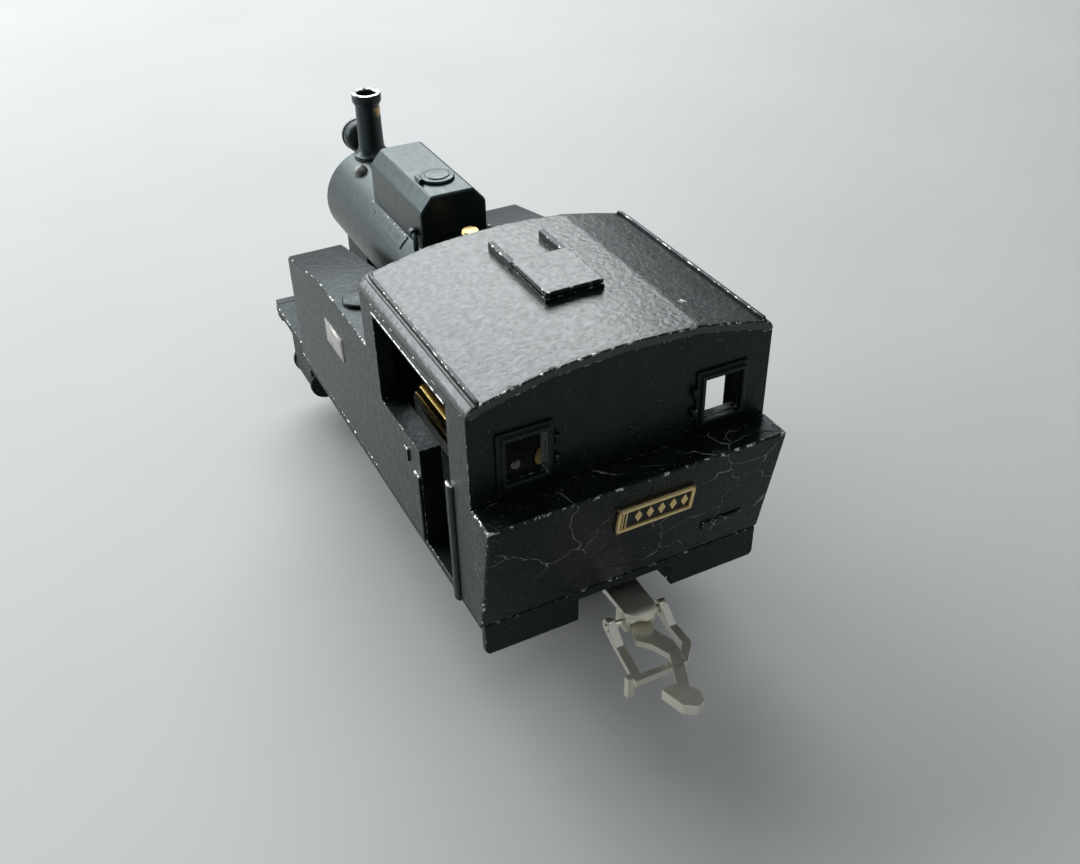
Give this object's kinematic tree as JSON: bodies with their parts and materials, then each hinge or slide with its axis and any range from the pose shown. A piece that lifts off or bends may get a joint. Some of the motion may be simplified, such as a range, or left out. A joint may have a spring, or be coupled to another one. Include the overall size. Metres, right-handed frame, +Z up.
{
  "type": "model tank locomotive",
  "caption": "Black metal model of a small side tank steam locomotive with cab, coal bunker, chimney, rodded wheels, inside motor drive and hook-and-loop couplers.",
  "frame": {"origin": "on the centre line, half way between the two coupler tips, at the bottom of the wheel flanges", "axes": "+X forward along the locomotive (chimney end), +Y to its left, +Z up; the rail tops touch the treads 1.0 mm above the origin"},
  "size_m": [0.1048, 0.033, 0.044],
  "materials": {
    "black_paint": "semi-gloss, leathery, worn at edges",
    "brass": "satin",
    "steel": "satin",
    "nickel": "bright plated, slightly tarnished",
    "black_plastic": "matte",
    "lamp_glass": "clear, glossy",
    "laminations": "laminated, varnished windings"
  },
  "bodies": {
    "chassis": {"footplate": "black_paint", "rear_beam": "black_paint", "front_beam": "black_paint", "coal_bunker": "black_paint", "cab_shell": "black_paint", "cab_roof": "black_paint", "roof_hatch": "black_paint", "rear_number_plate": "brass", "keeper_plate": "black_paint", "rear_window_frame_left": "black_paint", "left_side_tank": "black_paint", "left_tank_filler": "black_paint", "left_frame_plate": "black_paint", "left_cylinder": "black_paint", "left_slide_bar": "steel", "rear_window_frame_right": "black_paint", "right_side_tank": "black_paint", "right_tank_filler": "black_paint", "right_frame_plate": "black_paint", "right_cylinder": "black_paint", "right_slide_bar": "steel", "boiler_barrel": "black_paint", "smokebox": "black_paint", "smokebox_saddle": "black_paint", "smokebox_door": "black_paint", "chimney": "black_paint", "headlight": "black_paint", "headlight_lens": "lamp_glass", "dome_casing": "black_paint", "dome_hatch": "black_paint", "safety_valve": "brass", "motor_case": "brass", "motor_end_cap": "black_plastic", "motor_bracket": "brass", "worm_bracket": "brass", "rear_coupler_pin": "steel", "front_coupler_pin": "steel"},
    "front_wheelset": {"front_axle": "steel", "front_left_wheel": "steel", "front_right_wheel": "steel", "worm_wheel": "brass"},
    "rear_wheelset": {"rear_axle": "steel", "rear_left_wheel": "steel", "rear_right_wheel": "steel"},
    "left_coupling_rod": {"left_coupling_rod": "steel"},
    "right_coupling_rod": {"right_coupling_rod": "steel"},
    "left_main_rod": {"left_main_rod": "steel"},
    "right_main_rod": {"right_main_rod": "steel"},
    "left_crosshead": {"left_crosshead": "steel"},
    "right_crosshead": {"right_crosshead": "steel"},
    "worm_shaft": {"worm_shaft": "steel", "shaft_gear": "brass"},
    "armature": {"motor_armature": "laminations", "motor_pinion": "brass"},
    "rear_coupler": {"rear_coupler_shank": "nickel"},
    "rear_hook": {"rear_coupler_hook": "nickel"},
    "rear_loop": {"rear_coupler_loop": "nickel"},
    "front_coupler": {"front_coupler_shank": "nickel"},
    "front_hook": {"front_coupler_hook": "nickel"},
    "front_loop": {"front_coupler_loop": "nickel"}
  },
  "joints": [
    {"name": "front_axle_spin", "type": "hinge", "parent": "chassis", "child": "front_wheelset", "pos_m": [0.012, 0, 0.00637], "axis": [0, 1, 0], "continuous": true},
    {"name": "rear_axle_spin", "type": "hinge", "parent": "chassis", "child": "rear_wheelset", "pos_m": [-0.011, 0, 0.00637], "axis": [0, 1, 0], "continuous": true},
    {"name": "left_coupling_rod_pivot", "type": "hinge", "parent": "rear_wheelset", "child": "left_coupling_rod", "pos_m": [-0.0085, 0.0107, 0.00637], "axis": [0, 1, 0], "continuous": true},
    {"name": "left_main_rod_pivot", "type": "hinge", "parent": "rear_wheelset", "child": "left_main_rod", "pos_m": [-0.0085, 0.0118, 0.00637], "axis": [0, 1, 0], "continuous": true},
    {"name": "right_coupling_rod_pivot", "type": "hinge", "parent": "rear_wheelset", "child": "right_coupling_rod", "pos_m": [-0.011, -0.0107, 0.00387], "axis": [0, 1, 0], "continuous": true},
    {"name": "right_main_rod_pivot", "type": "hinge", "parent": "rear_wheelset", "child": "right_main_rod", "pos_m": [-0.011, -0.0118, 0.00387], "axis": [0, 1, 0], "continuous": true},
    {"name": "left_crosshead_slide", "type": "slide", "parent": "chassis", "child": "left_crosshead", "axis": [1, 0, 0], "range_m": [-0.005, 0]},
    {"name": "right_crosshead_slide", "type": "slide", "parent": "chassis", "child": "right_crosshead", "axis": [1, 0, 0], "range_m": [-0.00238, 0.00261]},
    {"name": "worm_spin", "type": "hinge", "parent": "chassis", "child": "worm_shaft", "pos_m": [0.012, 0, 0.0116], "axis": [1, 0, 0], "continuous": true},
    {"name": "motor_spin", "type": "hinge", "parent": "chassis", "child": "armature", "pos_m": [-0.007, 0, 0.0184], "axis": [1, 0, 0], "continuous": true},
    {"name": "rear_coupler_swing", "type": "hinge", "parent": "chassis", "child": "rear_coupler", "pos_m": [-0.032, 0, 0.011], "axis": [0, 0, 1], "range_deg": [-12, 12]},
    {"name": "rear_hook_lift", "type": "hinge", "parent": "rear_coupler", "child": "rear_hook", "pos_m": [-0.039, 0, 0.0096], "axis": [0, 1, 0], "range_deg": [0, 20]},
    {"name": "rear_loop_lift", "type": "hinge", "parent": "rear_coupler", "child": "rear_loop", "pos_m": [-0.039, 0, 0.0096], "axis": [0, 1, 0], "range_deg": [0, 20]},
    {"name": "front_coupler_swing", "type": "hinge", "parent": "chassis", "child": "front_coupler", "pos_m": [0.032, 0, 0.011], "axis": [0, 0, 1], "range_deg": [-12, 12]},
    {"name": "front_hook_lift", "type": "hinge", "parent": "front_coupler", "child": "front_hook", "pos_m": [0.039, 0, 0.0096], "axis": [0, -1, 0], "range_deg": [0, 20]},
    {"name": "front_loop_lift", "type": "hinge", "parent": "front_coupler", "child": "front_loop", "pos_m": [0.039, 0, 0.0096], "axis": [0, -1, 0], "range_deg": [0, 20]}
  ],
  "couplings": [
    {"joint": "rear_axle_spin", "follows": "front_axle_spin", "ratio": 1},
    {"joint": "left_coupling_rod_pivot", "follows": "front_axle_spin", "ratio": -1},
    {"joint": "right_coupling_rod_pivot", "follows": "front_axle_spin", "ratio": -1},
    {"joint": "left_main_rod_pivot", "follows": "front_axle_spin", "ratio": -1},
    {"joint": "right_main_rod_pivot", "follows": "front_axle_spin", "ratio": -1},
    {"joint": "worm_spin", "follows": "front_axle_spin", "ratio": 20},
    {"joint": "motor_spin", "follows": "front_axle_spin", "ratio": -32.308},
    {"joint": "rear_loop_lift", "follows": "rear_hook_lift", "ratio": 1},
    {"joint": "front_loop_lift", "follows": "front_hook_lift", "ratio": 1}
  ]
}
